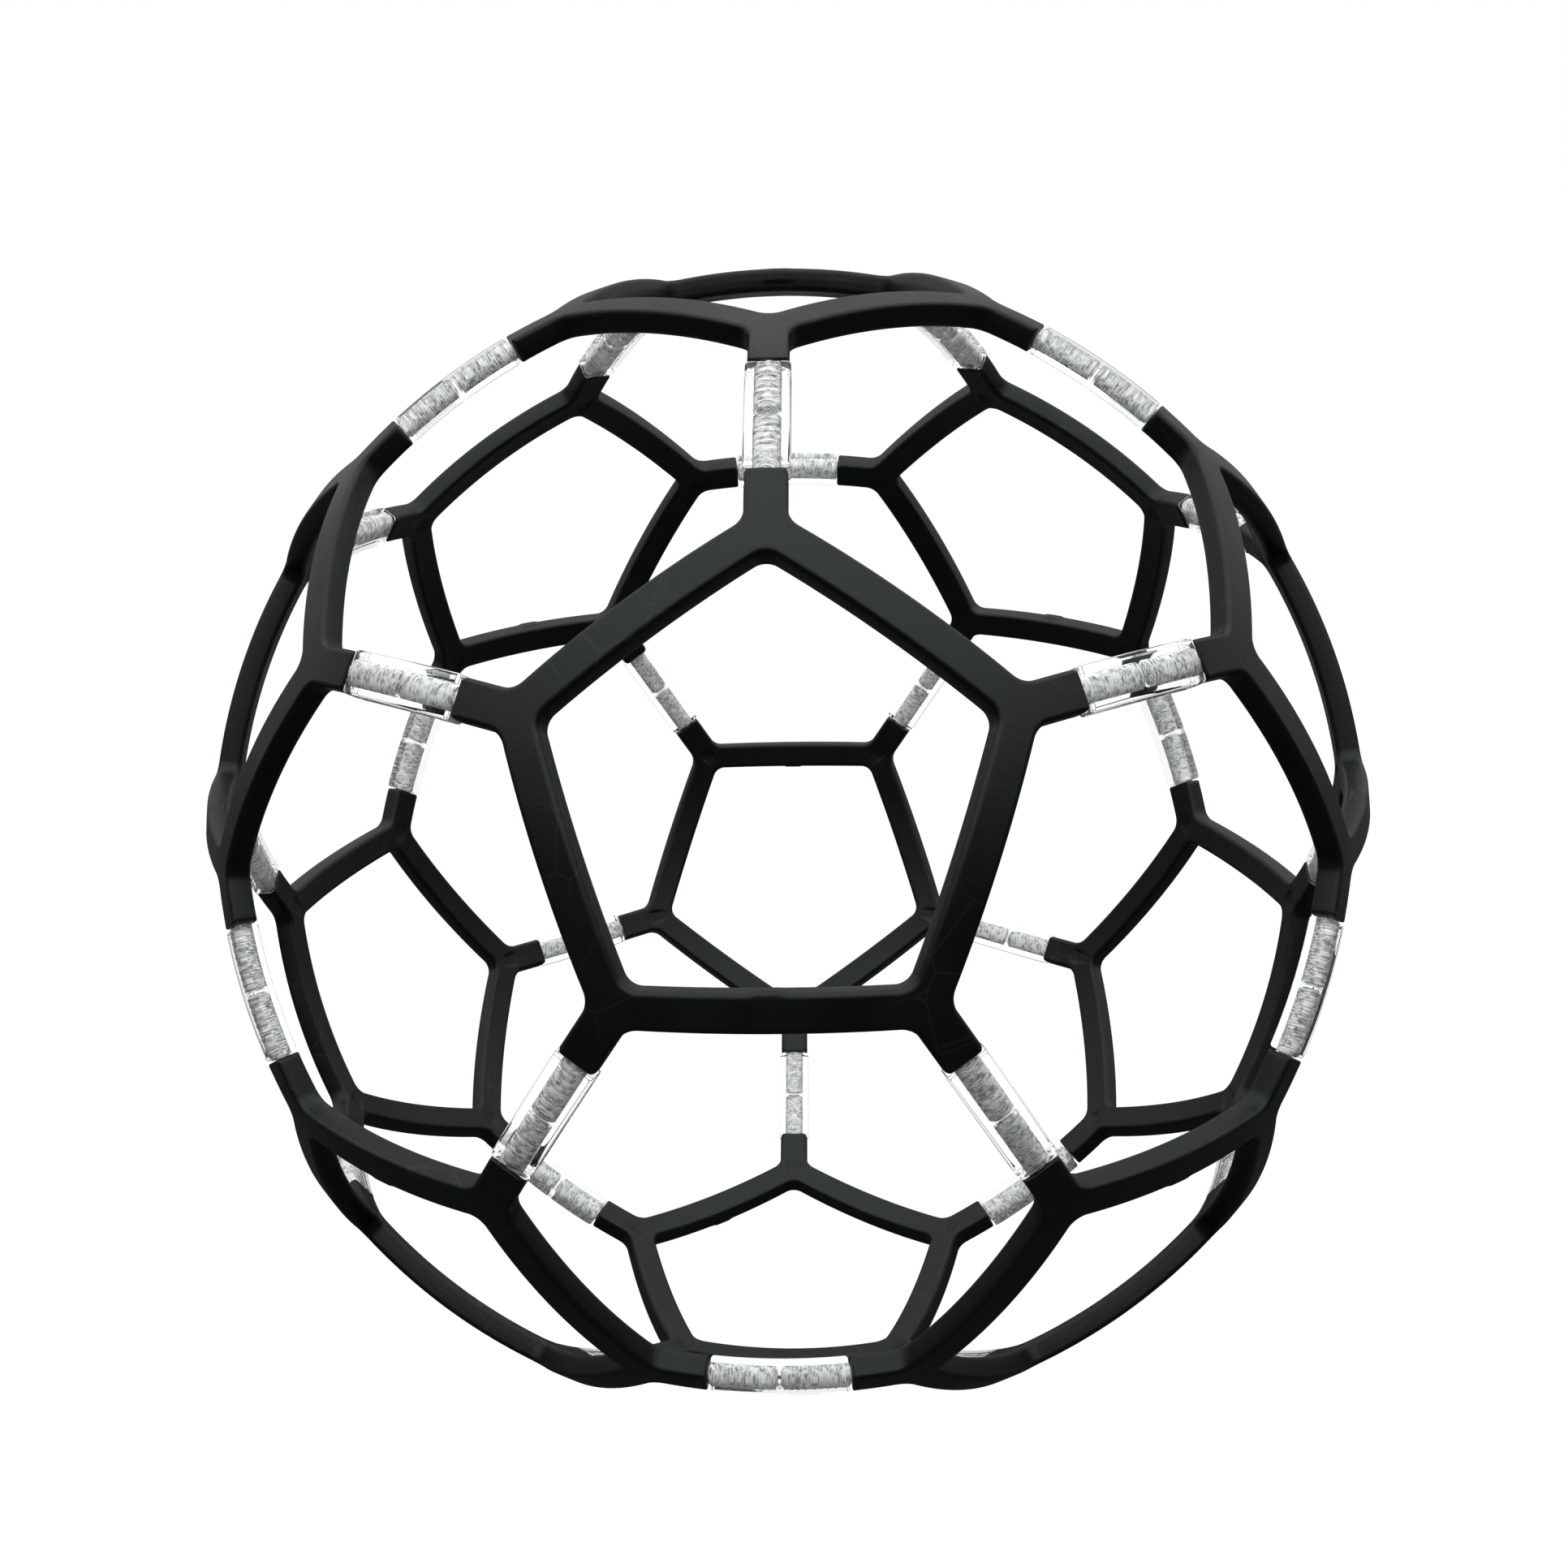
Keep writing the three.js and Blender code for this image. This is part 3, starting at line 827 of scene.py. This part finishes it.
def capped_tube(points):
    """A tube of rings with a point in the middle of its first and last ring."""
    rings, around = points.shape[:2]
    flat = points.reshape(-1, 3)
    poles = np.stack([points[0].mean(0), points[-1].mean(0)])
    total = rings * around
    loop, last = np.arange(around), (rings - 1) * around + np.arange(around)
    fans = np.concatenate([np.stack([np.roll(loop, -1), loop, np.full(around, total)], -1),
                           np.stack([last, np.roll(last, -1), np.full(around, total + 1)], -1)])
    return np.concatenate([flat, poles]), tube_faces(rings, around), fans


# %% The clear body
LINK_END = LINK_LENGTH / 2 / MIDDLE_RADIUS
FLOOR_AHEAD, FLOOR_BEVEL = 0.1, 0.35  # the bore's floor lies ahead of the pin, and rises at its rim
MOUTH_INSET, MOUTH_FLARE = 0.1, 0.08
full_section = section(LINK_HALF_WIDTH, LINK_HALF_DEPTH, LINK_EDGE)
polar = np.arctan2(full_section[:, 1], full_section[:, 0])
round_section = np.stack([np.cos(polar), np.sin(polar)], -1)


def clear_half():
    """Angles and sections of half a link, from a bore's floor over the end to the middle."""
    bore = CORE_RADIUS - PRESS
    angles, sections = [], []

    def add(angle, shape):
        angles.append(angle)
        sections.append(shape)

    floor = CORE_GAP - FLOOR_AHEAD
    for share in (0.4, 0.8):
        add(floor / MIDDLE_RADIUS, round_section * CORE_SHAPE * bore * share)
    for place in np.linspace(floor + FLOOR_BEVEL, LINK_LENGTH / 2 - MOUTH_INSET, 8):
        add(place / MIDDLE_RADIUS, round_section * CORE_SHAPE * bore)
    add(LINK_END, round_section * CORE_SHAPE * (bore + MOUTH_FLARE))
    for turn in np.linspace(0, math.pi / 2, 6):
        inset = SHOULDER * (1 - math.sin(turn))
        add(LINK_END - SHOULDER * (1 - math.cos(turn)) / MIDDLE_RADIUS,
            section(LINK_HALF_WIDTH - inset, LINK_HALF_DEPTH - inset, max(LINK_EDGE - inset * 0.8, 0.25)))
    for share in np.linspace(0.98, 0.0, 9):
        add((LINK_LENGTH / 2 - SHOULDER) * share / MIDDLE_RADIUS, full_section)
    return np.array(angles), np.array(sections)


half_angles, half_sections = clear_half()
clear_angles = np.concatenate([half_angles, -half_angles[-2::-1]])
clear_sections = np.concatenate([half_sections, half_sections[-2::-1]])
clear_points, clear_quads, clear_fans = capped_tube(carry(clear_angles, clear_sections))
print("one clear body:", len(clear_points), "points, outside",
      round(2 * LINK_HALF_WIDTH, 2), "by", round(2 * LINK_HALF_DEPTH, 2), "mm")

# %% [markdown]
# ## The ribbed pins
#
# Each pin fills its bore with fine ribs across it, and carries coarser, uneven teeth on the side
# away from the ball's centre. At the link's end it steps down to a plain round neck that plugs
# into the arm. Ribs and teeth bite into the clear body, as a press fit does, so no air is left
# between them.

# %% The ribbed pin
PIN_AROUND = 32
ROWS_PER_RIB = 4
PIN_RELIEF = 0.08  # from a pin's shoulder to the arm's end face
RIB_PITCH, RIB_HEIGHT = 0.46, 0.11
BURR_PITCH, BURR_HEIGHT = 1.1, 0.62  # the coarser, uneven teeth on the outer side only


def wobble(x, seed):
    """A repeatable uneven wave between about minus one and one: a sum of three sines."""
    return (np.sin(2.3 * x + seed) + np.sin(5.1 * x + 2.7 * seed) + np.sin(11.7 * x + 1.3 * seed)) / 3


def saw(phase):
    """A wave of straight flanks, nought at whole phases and one half way between."""
    return np.abs(2 * (phase - np.floor(phase + 0.5)))


def pin_surface(seed):
    """Rings by points round. The radius is the core's, plus fine ribs all round it, plus coarser
    teeth that stand up with the square of the sine of the angle, so on the outer side only."""
    inner, outer = CORE_GAP, LINK_LENGTH / 2 + BUTT_GAP - PIN_RELIEF
    ribs = int((outer - inner - 0.5) / RIB_PITCH)
    along = np.linspace(inner + 0.35, outer - 0.12, ribs * ROWS_PER_RIB)
    around = np.arange(PIN_AROUND) * 2 * math.pi / PIN_AROUND
    a, v = np.meshgrid(along, around, indexing="ij")
    outside = np.clip(np.sin(v), 0, 1)
    slant = 0.12 * np.sin(v + seed)
    uneven = 0.7 + 0.3 * wobble(a * 1.9 + np.cos(v), seed)
    radius = CORE_RADIUS + RIB_HEIGHT * saw((a + slant) / RIB_PITCH)
    teeth = saw(a / BURR_PITCH + 0.2 * wobble(a, seed + 2))
    radius += BURR_HEIGHT * uneven * outside ** 2 * teeth
    radius += 0.03 * wobble(3.1 * a + 4.0 * np.cos(v + seed), seed + 1)
    ring = np.stack([np.cos(v) * radius, np.sin(v) * radius], -1) * CORE_SHAPE
    spoke = np.stack([np.cos(around), np.sin(around)], -1)
    neck = PIN_DIAMETER / 2
    tip = [(inner, 0.5), (inner + 0.08, 0.78), (inner + 0.25, 0.94)]
    shoulder = [(outer - 0.04, 0.96), (outer, 0.86)]
    tail = [(outer + 0.02, neck), (outer + PIN_ENGAGEMENT - 0.3, neck),
            (outer + PIN_ENGAGEMENT, 0.7 * neck)]
    place = np.concatenate([[p for p, _ in tip], along, [p for p, _ in shoulder + tail]])
    core = spoke * CORE_SHAPE * CORE_RADIUS
    shapes = np.concatenate([[core * r for _, r in tip], ring, [core * r for _, r in shoulder],
                             [spoke * r for _, r in tail]])
    return place / MIDDLE_RADIUS, shapes


# %% Seat the links
clear_master = master_mesh("clear_body", clear_points, clear_quads, clear_fans)
PIN_KINDS = 4  # pins differ a little from one to the next, and these four take turns
pin_masters = []
for seed in range(PIN_KINDS):
    pin_angles, pin_shapes = pin_surface(1.0 + 1.7 * seed)
    pin_points, pin_quads, pin_fans = capped_tube(carry(pin_angles, pin_shapes))
    pin_mesh = master_mesh(f"ribbed_pin_{seed}", pin_points, pin_quads, pin_fans)
    along = np.append(np.repeat(pin_angles * MIDDLE_RADIUS, PIN_AROUND), [CORE_GAP, LINK_LENGTH / 2])
    sweep = np.tile(np.arange(PIN_AROUND), len(pin_angles)) * 2 * math.pi / PIN_AROUND
    turn_off = np.abs((sweep + 0.5 * math.pi) % (2 * math.pi) - math.pi)
    around = np.append(CORE_RADIUS * turn_off, [0.0, 0.0])
    give_rib_map(pin_mesh, along + 20.0 * seed, around)
    pin_masters.append((pin_mesh, pin_points))
print("one pin:", len(pin_points), "points,", 2 * len(pin_quads) + len(pin_fans), "triangles")

HALF_TURN = np.diag([-1.0, -1.0, 1.0])
for index, (where, (start, end)) in enumerate(link_seats.items()):
    turn = axes_of(unit(start + end), end - start)
    node = f"link_{where}"
    seat(f"clear_body_{where}", clear_master, clear_points, turn, link_clear, node)
    for side, flip in (("near", HALF_TURN), ("far", np.eye(3))):
        pin_mesh, pin_points = pin_masters[(index + (side == "far") * 2) % PIN_KINDS]
        seat(f"ribbed_pin_{where}_{side}", pin_mesh, pin_points, flip @ turn,
             pin_frosted, node)
print("seated", len(link_seats), "links, each a clear body and two pins")

# %% [markdown]
# ## Floor and light
#
# The ball stands on a plain white floor in soft light. The sky is bright overhead and behind,
# and the room in front is dim: upper bars catch a grey sheen, while bars that face the room
# stay nearly black. A soft lamp overhead brightens the frosted pins, and gives no gloss. The
# floor and the world show plain white to the camera and through the clear links, and a much
# darker tone to reflections, because a white floor would turn every underside grey.

# %% Floor
FLOOR_SIZE = 6.0
FLOOR_DROP = 0.0002  # the floor lies this far under the lowest frame


def seen_directly(tree):
    """One for rays from the camera and rays that only passed through clear plastic, else nought."""
    path = tree.nodes.new("ShaderNodeLightPath")
    straight = arithmetic(tree, "LESS_THAN", path.outputs["Diffuse Depth"], 0.5)
    through = arithmetic(tree, "MULTIPLY", path.outputs["Is Transmission Ray"], straight)
    return arithmetic(tree, "MAXIMUM", path.outputs["Is Camera Ray"], through)


floor_mesh = bpy.data.meshes.new("floor")
half = FLOOR_SIZE / 2
floor_corners = [(-half, -half, 0), (half, -half, 0), (half, half, 0), (-half, half, 0)]
floor_mesh.from_pydata(floor_corners, [], [(0, 1, 2, 3)])
floor = bpy.data.objects.new("floor", floor_mesh)
floor.location.z = -FLOOR_DROP
bpy.context.scene.collection.objects.link(floor)

floor_white, tree, shader, spot = start_material("floor_white")
speckle = use_group(tree, clouds, spot, 8.0)
FLOOR_DARK, FLOOR_PALE = (0.018, 0.018, 0.018, 1), (0.022, 0.022, 0.022, 1)
tree.links.new(blend_colours(tree, speckle.outputs["Mask"], FLOOR_DARK, FLOOR_PALE),
               shader.inputs["Base Color"])
shader.inputs["Roughness"].default_value = 0.9
shader.inputs["Specular IOR Level"].default_value = 0.0
shader.inputs["Emission Color"].default_value = (1, 1, 1, 1)
FLOOR_LIFT = 1.0  # to the camera and through clear plastic
FAR_FLOOR_LIFT = 0.08  # to everything else, behind the ball
place = tree.nodes.new("ShaderNodeSeparateXYZ")
tree.links.new(spot, place.inputs["Vector"])
far_side = map_range(tree, place.outputs["Y"], -0.02, 0.25, 0.0, FAR_FLOOR_LIFT)
near_lift = arithmetic(tree, "MULTIPLY", seen_directly(tree), FLOOR_LIFT)
lift = arithmetic(tree, "MAXIMUM", near_lift, far_side)
tree.links.new(lift, shader.inputs["Emission Strength"])
floor_mesh.materials.append(floor_white)

# %% World
world = bpy.data.worlds.new("studio")
world.use_nodes = True
bpy.context.scene.world = world
tree = world.node_tree
background = next(n for n in tree.nodes if n.type == "BACKGROUND")
direction = tree.nodes.new("ShaderNodeTexCoord").outputs["Generated"]
parts = tree.nodes.new("ShaderNodeSeparateXYZ")
tree.links.new(direction, parts.inputs["Vector"])
DOME_LOW, DOME_HIGH, DOME_LIGHT = 0.36, 0.70, 1.0  # sines of height, and the light overhead
BACK_LIGHT, ROOM_LIGHT = 0.45, 0.012  # the light behind the ball, and in front of it
dome = map_range(tree, parts.outputs["Z"], DOME_LOW, DOME_HIGH, ROOM_LIGHT, DOME_LIGHT)
behind = map_range(tree, parts.outputs["Y"], -0.1, 0.35, 0.0, BACK_LIGHT)
lit = arithmetic(tree, "MAXIMUM", dome, behind)
direct = seen_directly(tree)
shown = tree.nodes.new("ShaderNodeMix")
tree.links.new(direct, shown.inputs["Factor"])
tree.links.new(lit, shown.inputs["A"])
shown.inputs["B"].default_value = 1.0
tree.links.new(shown.outputs["Result"], background.inputs["Strength"])
background.inputs["Color"].default_value = (1, 1, 1, 1)

# %% Softbox


def softbox(name, spot, size, power):
    """A square lamp at spot that faces the ball's centre."""
    lamp = bpy.data.lights.new(name, "AREA")
    lamp.shape = "SQUARE"
    lamp.size = size
    lamp.energy = power
    light = bpy.data.objects.new(name, lamp)
    facing = (Vector(spot) - Vector(BALL_CENTRE * MM)).to_track_quat("Z", "Y")
    light.matrix_world = Matrix.Translation(spot) @ facing.to_matrix().to_4x4()
    bpy.context.scene.collection.objects.link(light)
    return light


OVERHEAD_SPOT, OVERHEAD_SIZE, OVERHEAD_POWER = (0.0, -0.10, 1.1), 0.9, 32.0  # metres and watts
overhead = softbox("overhead_softbox", OVERHEAD_SPOT, OVERHEAD_SIZE, OVERHEAD_POWER)
overhead.visible_glossy = False
bpy.context.scene.view_settings.view_transform = "Standard"
print("lamp:", overhead.name, overhead.data.energy, "W; floor", FLOOR_SIZE, "m across")

# %% [markdown]
# ## Last measurements
#
# The dressed ball has to stay the size of its solids; the box of the solids is printed.

# %% Print the solids' box and finish
print("cad box   ", [tuple(round(c, 5) for c in p) for p in cad_box])
